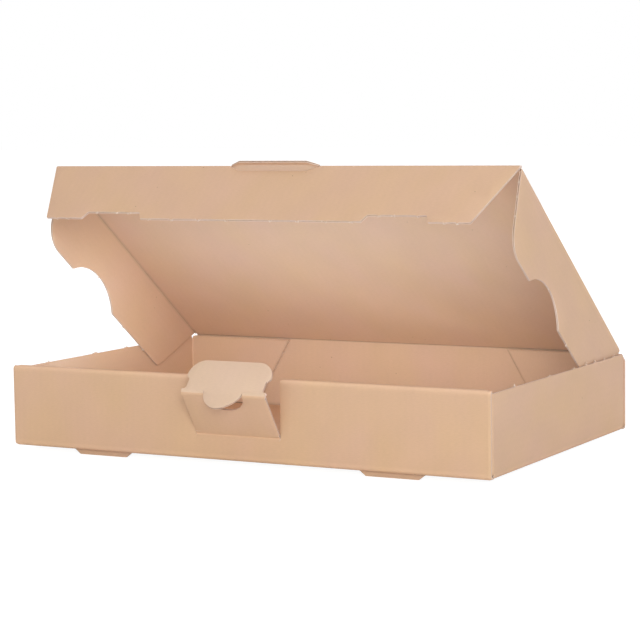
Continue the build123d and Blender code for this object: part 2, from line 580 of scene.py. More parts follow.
class NodeGraph:
    """Short ways to add nodes to a tree."""

    def __init__(self, tree: bpy.types.NodeTree) -> None:
        """Empty the tree and keep it."""
        self.tree = tree
        tree.nodes.clear()

    def feed(self, socket: Socket, value: Socket | float | Sequence[float]) -> None:
        """Give a node's input what it takes.

        Args:
            socket: The input.
            value: An output to link, or a plain value.
        """
        if isinstance(value, Socket):
            self.tree.links.new(value, socket)
        else:
            socket.default_value = value

    def node(
        self,
        kind: str,
        *values: Socket | float | Sequence[float],
        settings: dict[str, str] | None = None,
        **named: Socket | float | Sequence[float],
    ) -> bpy.types.Node:
        """Add a node.

        Args:
            kind: Its type.
            values: What its first inputs take, in order.
            settings: Its own settings, by name.
            named: What its other inputs take, by name, with _ for a space.

        Returns:
            The node.
        """
        made = self.tree.nodes.new(kind)
        for name, value in (settings or {}).items():
            setattr(made, name, value)
        for socket, value in zip(made.inputs, values):
            self.feed(socket, value)
        for name, value in named.items():
            self.feed(made.inputs[name.replace("_", " ")], value)
        return made

    def math(self, operation: str, *values: Socket | float) -> Socket:
        """Add a Math node and return its output."""
        return self.node("ShaderNodeMath", *values, settings={"operation": operation}).outputs[0]

    def vector_math(self, operation: str, *values: Socket | Sequence[float], **named: Socket) -> Socket:
        """Add a Vector Math node and return its output."""
        made = self.node("ShaderNodeVectorMath", *values, settings={"operation": operation}, **named)
        return made.outputs[0]


class TreeMaker(NodeGraph):
    """A Geometry Nodes tree that is built once and run on one mesh after another."""

    def __init__(self, name: str, sizes: dict[str, float]) -> None:
        """Start the tree with its named inputs.

        Args:
            name: The tree's name.
            sizes: Value of each input, by name.
        """
        super().__init__(bpy.data.node_groups.new(name, "GeometryNodeTree"))
        self.sizes = sizes
        face = self.tree.interface
        face.new_socket("Geometry", in_out="INPUT", socket_type="NodeSocketGeometry")
        for size in sizes:
            face.new_socket(size, in_out="INPUT", socket_type="NodeSocketFloat")
        face.new_socket("Geometry", in_out="OUTPUT", socket_type="NodeSocketGeometry")
        self.given = self.node("NodeGroupInput")

    def finish(self, geometry: Socket, material: Material) -> None:
        """End the tree: make instances real and give them their material.

        Args:
            geometry: What the tree has made.
            material: Its material.
        """
        realized = self.node("GeometryNodeRealizeInstances", geometry)
        painted = self.node("GeometryNodeSetMaterial", Geometry=realized.outputs[0], Material=material)
        self.node("NodeGroupOutput", painted.outputs[0])

    def run(self, start: bpy.types.Mesh) -> bpy.types.Mesh:
        """Run the tree.

        Args:
            start: The mesh that it runs on, and uses up.

        Returns:
            The plain result.
        """
        holder = add_object(start.name, start)
        modifier = holder.modifiers.new("tree", "NODES")
        modifier.node_group = self.tree
        for item in self.tree.interface.items_tree:
            if item.name in self.sizes:
                modifier[item.identifier] = self.sizes[item.name]
        evaluated = holder.evaluated_get(bpy.context.evaluated_depsgraph_get())
        mesh = bpy.data.meshes.new_from_object(evaluated)
        holder.modifiers.remove(modifier)
        bpy.data.objects.remove(holder)
        bpy.data.meshes.remove(start)
        return mesh


class FluteMaker(TreeMaker):
    """Tree that turns a flat strip mesh into the fluted medium."""

    weld: float = 0.002 * MM

    def __init__(self, material: Material) -> None:
        """Build the tree.

        Args:
            material: The medium's own paper.
        """
        sizes = {
            "Flute Pitch": BOARD.flute_pitch,
            "Flute Swing": BOARD.swing,
            "Medium Thickness": BOARD.medium,
        }
        super().__init__("fluted_medium", sizes)
        given, pitch, swing, thickness = self.given.outputs[:4]
        position = self.node("GeometryNodeInputPosition")
        split = self.node("ShaderNodeSeparateXYZ", position.outputs[0])
        phase = self.math("MULTIPLY", self.math("DIVIDE", split.outputs["X"], pitch), math.tau)
        lift = self.node("ShaderNodeCombineXYZ", Z=self.math("MULTIPLY", self.math("COSINE", phase), swing))
        thick = self.node("ShaderNodeCombineXYZ", Z=thickness)
        merged = self.node("GeometryNodeMergeByDistance", given, Distance=self.weld)
        waved = self.node("GeometryNodeSetPosition", merged.outputs[0], Offset=lift.outputs[0])
        extruded = self.node(
            "GeometryNodeExtrudeMesh",
            waved.outputs[0],
            Offset=thick.outputs[0],
            Offset_Scale=1.0,
            Individual=False,
        )
        flipped = self.node("GeometryNodeFlipFaces", waved.outputs[0])
        joined = self.node("GeometryNodeJoinGeometry", extruded.outputs["Mesh"])
        self.feed(joined.inputs[0], flipped.outputs[0])
        closed = self.node("GeometryNodeMergeByDistance", joined.outputs[0], Distance=self.weld)
        self.finish(closed.outputs[0], material)


class FibreMaker(TreeMaker):
    """Tree that grows a small uneven tuft of torn paper at each nick."""

    tuft_size: float = 0.3 * MM
    unevenness: float = 0.3 * MM
    seed: float = 7.0
    least: Triple = (0.7, 0.3, 0.2)
    most: Triple = (2.4, 0.9, 0.4)
    grain: float = 1800.0
    grain_detail: float = 2.0
    tufts: int = 5
    scatter: tuple[float, float] = (0.6 * MM, 0.16 * MM)
    depth: float = 0.35 * MM

    def __init__(self, material: Material) -> None:
        """Build the tree.

        Args:
            material: The torn paper.
        """
        sizes = {"Tuft Size": self.tuft_size, "Unevenness": self.unevenness, "Seed": self.seed}
        super().__init__("torn_fibres", sizes)
        given, size, uneven, seed = self.given.outputs[:4]
        points = self.node("GeometryNodeMeshToPoints", given)
        ball = self.node("GeometryNodeMeshIcoSphere", Radius=size, Subdivisions=2)
        vectors = {"data_type": "FLOAT_VECTOR"}
        ranges = (((0.0, 0.0, 0.0), (math.tau, math.tau, math.tau)), (self.least, self.most))
        turn, grow = (
            self.node("FunctionNodeRandomValue", *ends, settings=vectors, Seed=seed) for ends in ranges
        )
        placed = self.node(
            "GeometryNodeInstanceOnPoints",
            points.outputs[0],
            Instance=ball.outputs[0],
            Rotation=turn.outputs[0],
            Scale=grow.outputs[0],
        )
        realized = self.node("GeometryNodeRealizeInstances", placed.outputs[0])
        position = self.node("GeometryNodeInputPosition").outputs[0]
        noise = self.node("ShaderNodeTexNoise", Vector=position, Scale=self.grain, Detail=self.grain_detail)
        centred = self.vector_math("SUBTRACT", noise.outputs["Color"], (0.5, 0.5, 0.5))
        shift = self.vector_math("SCALE", centred, Scale=self.math("MULTIPLY", uneven, 2.0))
        moved = self.node("GeometryNodeSetPosition", realized.outputs[0], Offset=shift)
        self.finish(moved.outputs[0], material)

    def make(self, leaf: Leaf) -> bpy.types.Object:
        """Grow the tufts of one leaf.

        Args:
            leaf: The leaf with its torn places.

        Returns:
            The tufts as one piece.
        """
        rng = random.Random(len(leaf.torn))
        wide, high = self.scatter
        places = [place for place in leaf.torn for _ in range(self.tufts)]
        flat = [(x + rng.gauss(0, wide), s + rng.gauss(0, high)) for x, s in places]
        depths = np.array([BOARD.middle + rng.uniform(-self.depth, self.depth) for _ in flat])
        x, s = np.array(flat).T
        start = bpy.data.meshes.new("torn_places")
        start.from_pydata(leaf.fold(x, s, depths).tolist(), [], [])
        mesh = self.run(start)
        mesh.name = leaf.name.replace("board", "torn_fibres")
        mesh.uv_layers.new(name=BLANK_MAP)
        mesh.shade_smooth()
        LOG.info("%s: %d faces", mesh.name, len(mesh.polygons))
        return add_object(mesh.name, mesh)


@dataclass
class Leaf:
    """One piece of the blank: cut in the flat, where x runs across the flutes and s along them."""

    name: str
    loops: list[Loop]
    fold: Folder
    rows: list[float] = field(default_factory=list)
    columns: list[float] = field(default_factory=list)
    marks: list[Mark] = field(default_factory=list)
    creased: tuple[float, ...] = ()
    torn: list[Flat] = field(default_factory=list)
    steepest: float = 2.5 * MM
    shortfall: float = 0.12 * MM
    clearance: float = 0.9
    weld: float = 1e-5

    def flat_mesh(self) -> tuple[Array, list[list[int]]]:
        """Split the cut outline into triangles that follow every fold.

        Returns:
            The points in the flat, and the triangles by point.
        """
        corners = [point for loop in self.loops for point in loop]
        low, high = np.min(corners, axis=0), np.max(corners, axis=0)
        grid_rows = np.arange(low[1] + BOARD.grid / 2, high[1], BOARD.grid)
        grid_columns = np.arange(low[0] + BOARD.grid / 2, high[0], BOARD.grid)
        rings = [(loop, np.ones(len(loop), bool)) for loop in self.loops]
        for number, loop in enumerate(self.loops):
            for distance in BOARD.crush_rings:
                ring = inset(loop, distance, number > 0)
                rings.append((ring, self.clear(np.array(ring), distance)))
        points: list[Vector] = []
        edges: list[tuple[int, int]] = []
        for ring, clear in rings:
            first = len(points)
            points.extend(Vector(point) / MM for point in ring)
            pairs = ((k, (k + 1) % len(ring)) for k in range(len(ring)))
            edges.extend((first + k, first + on) for k, on in pairs if clear[k] and clear[on])
        margin = BOARD.grid
        lines = [((low[0] - margin, s), (high[0] + margin, s)) for s in (*self.rows, *grid_rows)]
        lines += [((x, low[1] - margin), (x, high[1] + margin)) for x in (*self.columns, *grid_columns)]
        for start, end in lines:
            edges.append((len(points), len(points) + 1))
            points.extend((Vector(start) / MM, Vector(end) / MM))
        made = delaunay_2d_cdt(points, edges, [], 0, self.weld, False)
        flat = np.array([tuple(point) for point in made[0]]) * MM
        triangles = np.array([list(face) for face in made[2]])
        chosen = triangles[inside(self.loops, flat[triangles].mean(axis=1))]
        used, renumbered = np.unique(chosen, return_inverse=True)
        return flat[used], renumbered.reshape(-1, 3).tolist()

    def clear(self, ring: Array, distance: float) -> Array:
        """Tell which points of an inset ring lie about as far from every cut as they should.

        Args:
            ring: The points.
            distance: How far the ring was moved in.

        Returns:
            True for each such point.
        """
        found = inside(self.loops, ring)
        for start, end in runs_of(self.loops):
            found &= gaps(ring, start, end) > self.clearance * distance
        return found

    def tone_and_painted_light(self, flat: Array) -> Array:
        """Measure the marks at each point.

        Args:
            flat: Points in the flat, one a row.

        Returns:
            The strongest mark at each, paler above 0 and darker below it, which the finish draws as fold
            paleness, painted shade or painted highlight.
        """
        value = np.zeros(len(flat))
        for mark in self.marks:
            found = mark.at(flat)
            value = np.where(np.abs(found) > np.abs(value), found, value)
        return value

    def add_liner(
        self, parts: MeshParts, flat: Array, triangles: list[list[int]], shallow: float, deep: float
    ) -> None:
        """Add one liner as a closed thin shell.

        Args:
            parts: Where the shell goes.
            flat: Points in the flat.
            triangles: Triangles by point.
            shallow: Depth of its outer face below the board's outer side.
            deep: Depth of its inner face.
        """
        count = len(flat)
        x, s = np.tile(flat[:, 0], 2), np.tile(flat[:, 1], 2)
        pressed = crush(self.loops, self.creased, flat) * (1 if shallow == 0 else -1)
        t = np.repeat((shallow, deep), count) + np.tile(pressed, 2)
        outer = [list(reversed(triangle)) for triangle in triangles]
        inner = [[corner + count for corner in triangle] for triangle in triangles]
        sides = {(a, b) for tri in triangles for a, b in zip(tri, tri[1:] + tri[:1])}
        rim = [[a, b, b + count, a + count] for a, b in sides if (b, a) not in sides]
        first = Face.OUTSIDE if shallow == 0 else Face.FLUTE
        last = Face.FLUTE if shallow == 0 else Face.INSIDE
        kinds = [first.value] * len(outer) + [last.value] * len(inner) + [Face.CUT.value] * len(rim)
        both = np.column_stack((x, s))
        parts.add(self.fold(x, s, t), both, self.tone_and_painted_light(both), outer + inner + rim, kinds)

    def strips(self) -> bpy.types.Mesh:
        """Cut the medium's flat strips to the outline, a little inside it.

        Returns:
            The strips, with points at every fold and where the crushed edges start.
        """
        low, high = (pick(point[0] for loop in self.loops for point in loop) for pick in (min, max))
        step = BOARD.flute_pitch / BOARD.flute_steps
        short = self.shortfall
        places = np.arange(math.ceil((low + short) / step), math.floor((high - short) / step) + 1) * step
        spans = [crossings(self.loops, place + HAIR) for place in places]
        rows = sorted(self.rows)
        ends = (short, *(short + ring for ring in BOARD.crush_rings))
        points: list[tuple[float, float, float]] = []
        faces: list[list[int]] = []
        for left, right, a, b in zip(places, places[1:], spans, spans[1:]):
            if len(a) != len(b):
                continue
            for low_a, high_a, low_b, high_b in zip(a[::2], a[1::2], b[::2], b[1::2]):
                if abs(low_a - low_b) > self.steepest:
                    low_a = low_b = max(low_a, low_b)
                if abs(high_a - high_b) > self.steepest:
                    high_a = high_b = min(high_a, high_b)
                start, end = max(low_a, low_b) + ends[-1], min(high_a, high_b) - ends[-1]
                if start >= end - short:
                    continue
                between = [row for row in rows if start + short < row < end - short]
                first = len(points)
                for x, low_end, high_end in ((left, low_a, high_a), (right, low_b, high_b)):
                    line = [low_end + e for e in ends] + between + [high_end - e for e in reversed(ends)]
                    points.extend((x, s, 0.0) for s in line)
                size = len(between) + 2 * len(ends)
                for k in range(first, first + size - 1):
                    faces.append([k, k + size, k + size + 1, k + 1])
        mesh = bpy.data.meshes.new("flat_strips")
        mesh.from_pydata(points, [], faces)
        return mesh

    def build(self, flutes: FluteMaker, materials: Sequence[Material]) -> bpy.types.Object:
        """Make the leaf: both liners and the medium between them, folded into place.

        Args:
            flutes: Maker of the medium.
            materials: One for each kind of face.

        Returns:
            The finished piece.
        """
        parts = MeshParts()
        flat, triangles = self.flat_mesh()
        self.add_liner(parts, flat, triangles, 0.0, BOARD.liner)
        self.add_liner(parts, flat, triangles, BOARD.thickness - BOARD.liner, BOARD.thickness)
        medium = flutes.run(self.strips())
        points = np.empty(len(medium.vertices) * 3)
        medium.vertices.foreach_get("co", points)
        x, s, lift = points.reshape(-1, 3).T
        faces = [list(polygon.vertices) for polygon in medium.polygons]
        flat_points = np.column_stack((x, s))
        pressed = crush(self.loops, self.creased, flat_points)
        depth = BOARD.middle + lift - BOARD.medium / 2 - np.cos(x * math.tau / BOARD.flute_pitch) * pressed
        folded = self.fold(x, s, depth)
        parts.add(folded, flat_points, np.zeros(len(x)), faces, [Face.FLUTE.value] * len(faces))
        bpy.data.meshes.remove(medium)
        return parts.build(self.name, materials)


@dataclass(frozen=True)
class FlatLeaf:
    """Where a leaf that has no bends lies: its crease, and the direction in which it runs from it."""

    origin: Vector
    along: Vector
    curl: float = 0.0

    def place(self, x: Array, s: Array, t: Array) -> Array:
        """Place points of the flat leaf in space; what lies beyond its crease may curl outwards.

        Args:
            x: Distances across the leaf.
            s: Distances along it from the crease.
            t: Depths below its outer side.

        Returns:
            The points, one a row.
        """
        beyond = np.maximum(s, 0.0)
        curled = self.curl * beyond**2 / (beyond + BOARD.thickness)
        raised = np.outer(BOARD.middle - t + curled, outer_side(self.along))
        return np.array(self.origin) + np.outer(x, ACROSS) + np.outer(s, self.along) + raised


@dataclass(frozen=True)
class Creases:
    """The box's creases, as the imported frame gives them, and the directions in which its leaves run."""

    hinge: Vector
    fold: Vector
    lock: Vector
    tuck: Vector
    half_width: float
    half_depth: float
    height: float
    lid_half: float
    front_flap_flare: float = math.radians(10.9)
    tuck_rise: float = math.radians(50.0)

    @classmethod
    def from_frame(cls, frame: dict) -> Creases:
        """Read the creases from the frame's joints and the box's sizes from its nodes.

        Args:
            frame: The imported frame.

        Returns:
            The creases.
        """
        places = {joint["name"]: Vector(joint["pos_m"]) for joint in frame["joints"]}
        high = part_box("tray")[1]
        return cls(
            hinge=places["lid_hinge"],
            fold=places["front_flap_fold"],
            lock=places["lock_hinge"],
            tuck=places["tuck_fold"],
            half_width=high.x,
            half_depth=high.y,
            height=high.z,
            lid_half=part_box("lid")[1].x,
        )

    @property
    def lid_forward(self) -> Vector:
        """From the lid's hinge to its front edge."""
        return (self.fold - self.hinge).normalized()

    @property
    def lid_outward(self) -> Vector:
        """Square to the lid, towards its outer side."""
        return outer_side(self.lid_forward)

    @property
    def flap_down(self) -> Vector:
        """From the lid's front edge down the front flap."""
        lean = math.atan2(self.lid_forward.z, -self.lid_forward.y) + self.front_flap_flare
        return Vector((0, -math.sin(lean), -math.cos(lean)))

    @property
    def lock_up(self) -> Vector:
        """From the lock's lower crease to the tuck panel's."""
        return (self.tuck - self.lock).normalized()

    @property
    def tuck_inward(self) -> Vector:
        """From the tuck panel's crease to its free edge."""
        return Vector((0, math.cos(self.tuck_rise), math.sin(self.tuck_rise)))


def mirrored(points: Loop) -> Loop:
    """Return points of the right half as they lie in the left half."""
    return [(-x, s) for x, s in points]


def both_sides(right: Loop, left: Loop) -> Loop:
    """Close an outline from its two halves, each from the rear and both as they lie on the right.

    Args:
        right: The right half.
        left: The left half, before it is mirrored.

    Returns:
        The outline, with a point that the halves share on the middle line only once.
    """
    shared = left[-1][0] == 0.0
    return right + mirrored(list(reversed(left[:-1] if shared else left)))


def cut_halves(half_outline: HalfCutter, seed: int) -> tuple[Loop, list[Flat]]:
    """Cut the two halves of a sheet, each with tears of its own.

    Args:
        half_outline: Returns one half of the outline, and notes its tears.
        seed: Seed of the tears' unevenness.

    Returns:
        The closed outline, and the place of each tear.
    """
    rng = random.Random(seed)
    torn: list[Flat] = []
    torn_left: list[Flat] = []
    outline = both_sides(half_outline(rng, torn), half_outline(rng, torn_left))
    return outline, torn + mirrored(torn_left)


def rectangle(left: float, start: float, right: float, end: float) -> Loop:
    """Return the corners of a rectangle, from its start on the left."""
    return [(left, start), (right, start), (right, end), (left, end)]


@dataclass
class Tray:
    """Floor, lined front wall, back wall and side walls with their corner flaps."""

    creases: Creases
    lock: Lock
    side_top: float = 36.4 * MM
    seat_gap: float = 0.2 * MM
    layer_gap: float = 0.15 * MM
    lining_end_gap: float = 0.2 * MM
    corner_foot: float = 2.0 * MM
    front_corner_length: float = 52.0 * MM
    front_corner_taper: float = 5.0 * MM
    rear_corner_length: float = 61.0 * MM
    rear_corner_slant: float = math.radians(30.0)
    tab_centre: float = 75.0 * MM
    tab_width: float = 32.5 * MM
    tab_taper: float = 3.5 * MM
    tab_drop: float = 2.6 * MM
    tab_gap: float = 0.2 * MM
    lock_side_gap: float = 0.25 * MM
    slit: float = 0.2 * MM
    rear_cut: float = 3.2 * MM
    rear_cut_width: float = 1.8 * MM
    side_nicks: tuple[float, ...] = (0.165, 0.42, 0.6, 0.7, 0.77, 0.85, 0.93)
    side_tear: Tear = Tear(reach=0.5 * MM, width=3.4 * MM)
    seed: int = 11
    # The front wall's top fold gets a stronger mark, a painted highlight on its outside; the rear corner
    # flaps' slanted edges get a painted shadow line.
    ridge_bends: int = 2
    ridge_reach: float = 1.1 * MM
    ridge_highlight_and_shade: float = 1.6
    corner_mark_start: float = 2.0 * MM
    corner_amount: float = -0.3
    shadow_line_reach: float = 0.8 * MM
    shadow_line_amount: float = 0.9

    def __post_init__(self) -> None:
        """Lay out the three fold lines that the sheet follows."""
        c, b = self.creases, BOARD
        self.corner_y = c.half_depth - b.thickness - self.layer_gap
        self.lining_y = -self.corner_y + 2 * b.thickness + self.layer_gap
        self.lining_foot = b.thickness + self.seat_gap
        self.side_run = self.corner_y - b.outer_radius
        self.main = FoldLine(
            (self.lining_y, self.lining_foot),
            (self.lining_y, c.height),
            (-c.half_depth, c.height),
            (-c.half_depth, 0.0),
            (c.half_depth, 0.0),
            (c.half_depth, self.side_top),
        )
        wide, top = c.half_width, self.side_top
        self.cross = FoldLine((-wide, top), (-wide, 0.0), (wide, 0.0), (wide, top))
        reach = wide - self.rear_corner_length
        far = self.corner_y
        self.plan = FoldLine((reach, -far), (wide, -far), (wide, far), (reach, far))
        self.floor_middle = self.main.at(3, 0.0, 0.0)
        self.floor_half = wide - b.outer_radius
        self.wall_foot = self.floor_half + b.bend_length

    @property
    def lean(self) -> float:
        """Angle at which the box leans back on the ends of its tabs and on its rear edge."""
        return math.atan2(self.tab_drop, 2 * self.creases.half_depth - 3 * BOARD.thickness)

    def up_wall(self, height: float) -> float:
        """Return the flat sheet's x at a height on a side wall."""
        return self.wall_foot + height - BOARD.outer_radius

    def fold(self, x: Array, s: Array, t: Array) -> Array:
        """Fold the flat tray: the long strip, then the side walls, then their corner flaps.

        Args:
            x: Distances across the flutes from the middle.
            s: Distances along them from the lining's edge.
            t: Depths below the board's outer side.

        Returns:
            The points, one a row.
        """
        y, z = self.main.place(s, t)
        result = np.column_stack((x, y, z))
        along, across = s - self.floor_middle, np.abs(x)
        on_side = np.abs(along) <= self.side_run + self.slit / 2
        past_floor = across > self.creases.half_width + HAIR
        wing = (on_side | past_floor) & (across > self.floor_half + SAME_PLACE)
        if wing.any():
            wx, wz = self.cross.place(self.cross.length / 2 + across[wing], t[wing])
            px, py = self.plan.place(self.plan.length / 2 + along[wing], t[wing])
            standing = across[wing] >= self.wall_foot - SAME_PLACE
            result[wing, 0] = np.sign(x[wing]) * np.where(standing, px, wx)
            result[wing, 1] = np.where(standing, py, along[wing])
            result[wing, 2] = wz
        return result

    def half_outline(self, rng: random.Random, torn: list[Flat]) -> Loop:
        """Return the right half of the cut outline, from the lining's edge to the back wall's.

        Args:
            rng: Source of the tears' unevenness.
            torn: Takes the place of each tear.

        Returns:
            The outline's points.
        """
        c, b = self.creases, BOARD
        inner, outer = self.tab_centre - self.tab_width / 2, self.tab_centre + self.tab_width / 2
        lining_half = c.half_width - b.thickness - self.lining_end_gap
        shoulder = self.main.bends()[1][0]
        tab_foot = -self.lining_foot
        tab_end = tab_foot - self.tab_drop
        front = self.floor_middle - self.side_run
        back = self.floor_middle + self.side_run
        foot, top = self.up_wall(self.corner_foot), self.up_wall(self.side_top)
        tip = b.bend_length + self.front_corner_length - b.outer_radius
        rear_tip = b.bend_length + self.rear_corner_length - b.outer_radius
        rear_slant = (self.side_top - self.corner_foot) * math.tan(self.rear_corner_slant)
        taper = self.front_corner_taper
        points: Loop = [
            (inner, 0.0),
            (inner, tab_foot),
            (inner + self.tab_taper, tab_end),
            (outer - self.tab_taper, tab_end),
            (outer, tab_foot),
            (outer, 0.0),
            (lining_half, 0.0),
            (lining_half, shoulder),
            (c.half_width, shoulder),
            (c.half_width, front - self.slit),
            (self.floor_half, front - self.slit),
            (self.floor_half, front),
            (foot, front),
            (foot, front - b.bend_length),
            (foot + taper, front - tip),
            (top - taper, front - tip),
            (top, front - b.bend_length),
        ]
        points += self.side_tear.along(points[-1], (top, back), self.side_nicks, rng, torn)
        points += [
            (top - self.rear_cut / 2, back + b.bend_length / 2),
            (top, back + b.bend_length),
            (top, back + rear_tip),
            (foot, back + rear_tip - rear_slant),
            (foot, back),
            (self.floor_half, back),
            (self.floor_half, back + self.slit),
            (c.half_width, back + self.slit),
            (c.half_width, self.main.length - self.rear_cut),
            (c.half_width - self.rear_cut_width, self.main.length),
        ]
        return points

    def holes(self) -> list[Loop]:
        """Lay out the holes in the sheet.

        Returns:
            The lock's window and the slots for the lining's tabs.
        """
        window = self.lock.half_width + self.lock_side_gap
        sill = self.creases.lock.z - BOARD.crease_half
        first = self.main.at(0, self.lining_y, sill)
        last = self.main.at(2, -self.creases.half_depth, sill)
        found = [rectangle(-window, first, window, last)]
        slot = self.floor_middle + self.lining_y - BOARD.middle
        half = BOARD.middle + self.tab_gap
        reach = self.tab_width / 2 + self.tab_gap
        for centre in (-self.tab_centre, self.tab_centre):
            found.append(rectangle(centre - reach, slot - half, centre + reach, slot + half))
        return found

    def marks(self) -> list[Mark]:
        """Lay out the marks along the folds, the corner bends and the rear corner flaps' slanted edges.

        Returns:
            The folds' marks, a painted highlight on the front wall's top fold among them, and the painted
            shadow lines along the rear corner flaps' slanted edges.
        """
        wide = self.creases.half_width
        foot, top = self.up_wall(self.corner_foot), self.up_wall(self.side_top)
        found = []
        for number, (start, end) in enumerate(self.main.bends()):
            middle = (start + end) / 2
            # A stronger mark on the front wall's top fold: a painted highlight on its outside.
            ridge = (self.ridge_reach, self.ridge_highlight_and_shade) if number < self.ridge_bends else ()
            found.append(Mark((-wide, middle), (wide, middle), *ridge))
        # A painted shadow line along each rear corner flap's slanted edge.
        slanted = (self.shadow_line_reach, self.shadow_line_amount)
        side = (self.floor_half + self.wall_foot) / 2
        corner = self.side_run + BOARD.bend_length / 2
        low, high = self.floor_middle - self.side_run, self.floor_middle + self.side_run
        tip = high + BOARD.bend_length + self.rear_corner_length - BOARD.outer_radius
        slant = (top - foot) * math.tan(self.rear_corner_slant)
        for sign in (-1, 1):
            found.append(Mark((sign * side, low), (sign * side, high)))
            start = sign * (foot + self.corner_mark_start)
            for s in (self.floor_middle - corner, self.floor_middle + corner):
                found.append(Mark((start, s), (sign * top, s), amount=self.corner_amount))
            found.append(Mark((sign * top, tip), (sign * foot, tip - slant), *slanted))
        return found

    def leaf(self) -> Leaf:
        """Lay out the tray.

        Returns:
            The whole tray as one cut and folded sheet.
        """
        outline, torn = cut_halves(self.half_outline, self.seed)
        holes = self.holes()
        rows = [row for bend in self.main.bends() for row in bend_rows(*bend)]
        corner = self.side_run + BOARD.bend_length
        for sign in (-1, 1):
            ends = sorted((self.floor_middle + sign * self.side_run, self.floor_middle + sign * corner))
            rows += bend_rows(*ends)
        columns = [sign * x for x in bend_rows(self.floor_half, self.wall_foot) for sign in (-1, 1)]
        creased = (self.main.length, holes[0][-1][1])
        torn += holes[0][2:]
        return Leaf("tray_board", [outline, *holes], self.fold, rows, columns, self.marks(), creased, torn)


@dataclass
class Lid:
    """Top panel with its side flaps and the lip over the slot."""

    creases: Creases
    side_flap_depth: float = 34.7 * MM
    rear_start: float = 2.3 * MM
    rear_notch: float = 1.05 * MM
    rear_run: float = 20.8 * MM
    rear_corner: float = 3.0 * MM
    front_gap: float = 1.0 * MM
    front_inset: float = 12.0 * MM
    nose_radius: float = 13.5 * MM
    notch_from_front: float = 57.9 * MM
    notch_width: float = 41.2 * MM
    notch_height: float = 9.0 * MM
    notch_steps: int = 16
    lip_half_width: float = 23.0 * MM
    lip_narrowing: float = 5.4 * MM
    lip_reach: float = 3.6 * MM
    nose_nicks: tuple[float, ...] = (0.22, 0.55, 0.8)
    low_nicks: tuple[float, ...] = (0.3, 0.75)
    tear: Tear = Tear(reach=0.35 * MM)
    seed: int = 3

    def __post_init__(self) -> None:
        """Lay out the fold line across the lid, from its right side flap to its left one."""
        wide, top = self.creases.lid_half, BOARD.middle
        low = top - self.side_flap_depth
        self.cross = FoldLine((wide, low), (wide, top), (-wide, top), (-wide, low))
        self.panel_half = wide - BOARD.outer_radius
        self.flap_root = self.panel_half + BOARD.bend_length
        self.panel_end = (self.creases.fold - self.creases.hinge).length - BOARD.crease_half

    def down_flap(self, depth: float) -> float:
        """Return the flat sheet's x at a depth below the panel's outer side, on a side flap."""
        return self.flap_root + depth - BOARD.outer_radius

    def fold(self, x: Array, s: Array, t: Array) -> Array:
        """Fold the flat lid about the creases of its side flaps.

        Args:
            x: Distances across the flutes from the middle.
            s: Distances along them from the hinge.
            t: Depths below the board's outer side.

        Returns:
            The points, one a row.
        """
        across, raised = self.cross.place(self.cross.length / 2 - x, t)
        c = self.creases
        along = np.outer(s, c.lid_forward) + np.outer(raised, c.lid_outward)
        return np.array(c.hinge) + np.outer(across, ACROSS) + along

    def half_outline(self, rng: random.Random, torn: list[Flat]) -> Loop:
        """Return the right half of the cut outline, from the hinge to the lip.

        Args:
            rng: Source of the tears' unevenness.
            torn: Takes the place of each tear.

        Returns:
            The outline's points.
        """
        low = self.down_flap(self.side_flap_depth)
        rear_low = self.rear_start + self.rear_run
        front_top = self.panel_end - self.front_gap
        front_low = front_top - self.front_inset
        half = self.notch_width / 2
        centre = self.panel_end - self.notch_from_front
        radius = (half**2 + self.notch_height**2) / (2 * self.notch_height)
        swing = math.asin(half / radius)
        rear: Loop = [(self.flap_root, self.rear_start), (low, rear_low), (low, centre - half)]
        base = low - self.notch_height
        turns = [-swing + 2 * swing * step / self.notch_steps for step in range(self.notch_steps + 1)]
        notch = [(base + radius * (1 - math.cos(turn)), centre + radius * math.sin(turn)) for turn in turns]
        nose: Loop = [(low, centre + half), (low, front_low), (self.flap_root, front_top)]
        points: Loop = [(self.panel_half, BOARD.crease_half), (self.panel_half, self.rear_notch)]
        points += rounded(rear, {1: self.rear_corner})[:-1]
        points += self.tear.along(points[-1], notch[0], self.low_nicks, rng, torn)
        points += notch[1:]
        curve = rounded(nose, {1: self.nose_radius})[1:]
        points += curve[:-1]
        points += self.tear.along(curve[-2], curve[-1], self.nose_nicks, rng, torn)
        torn += [(self.panel_half + BOARD.middle, self.rear_notch), notch[self.notch_steps // 2]]
        points += [
            (self.panel_half, front_top),
            (self.panel_half, self.panel_end),
            (self.lip_half_width, self.panel_end),
            (self.lip_half_width, self.panel_end + BOARD.crease_half + BOARD.middle),
            (self.lip_half_width - self.lip_narrowing, self.panel_end + BOARD.crease_half + self.lip_reach),
        ]
        return points

    def leaf(self) -> Leaf:
        """Lay out the lid.

        Returns:
            The lid as one cut and folded sheet.
        """
        outline, torn = cut_halves(self.half_outline, self.seed)
        columns = [sign * x for x in bend_rows(self.panel_half, self.flap_root) for sign in (-1, 1)]
        side = (self.panel_half + self.flap_root) / 2
        # The side flaps' creases: a paler line outside and painted shade in the crease inside.
        marks = [Mark((sign * side, 0.0), (sign * side, self.panel_end)) for sign in (-1, 1)]
        creased = (BOARD.crease_half, self.panel_end)
        return Leaf("lid_board", [outline], self.fold, [], columns, marks, creased, torn)


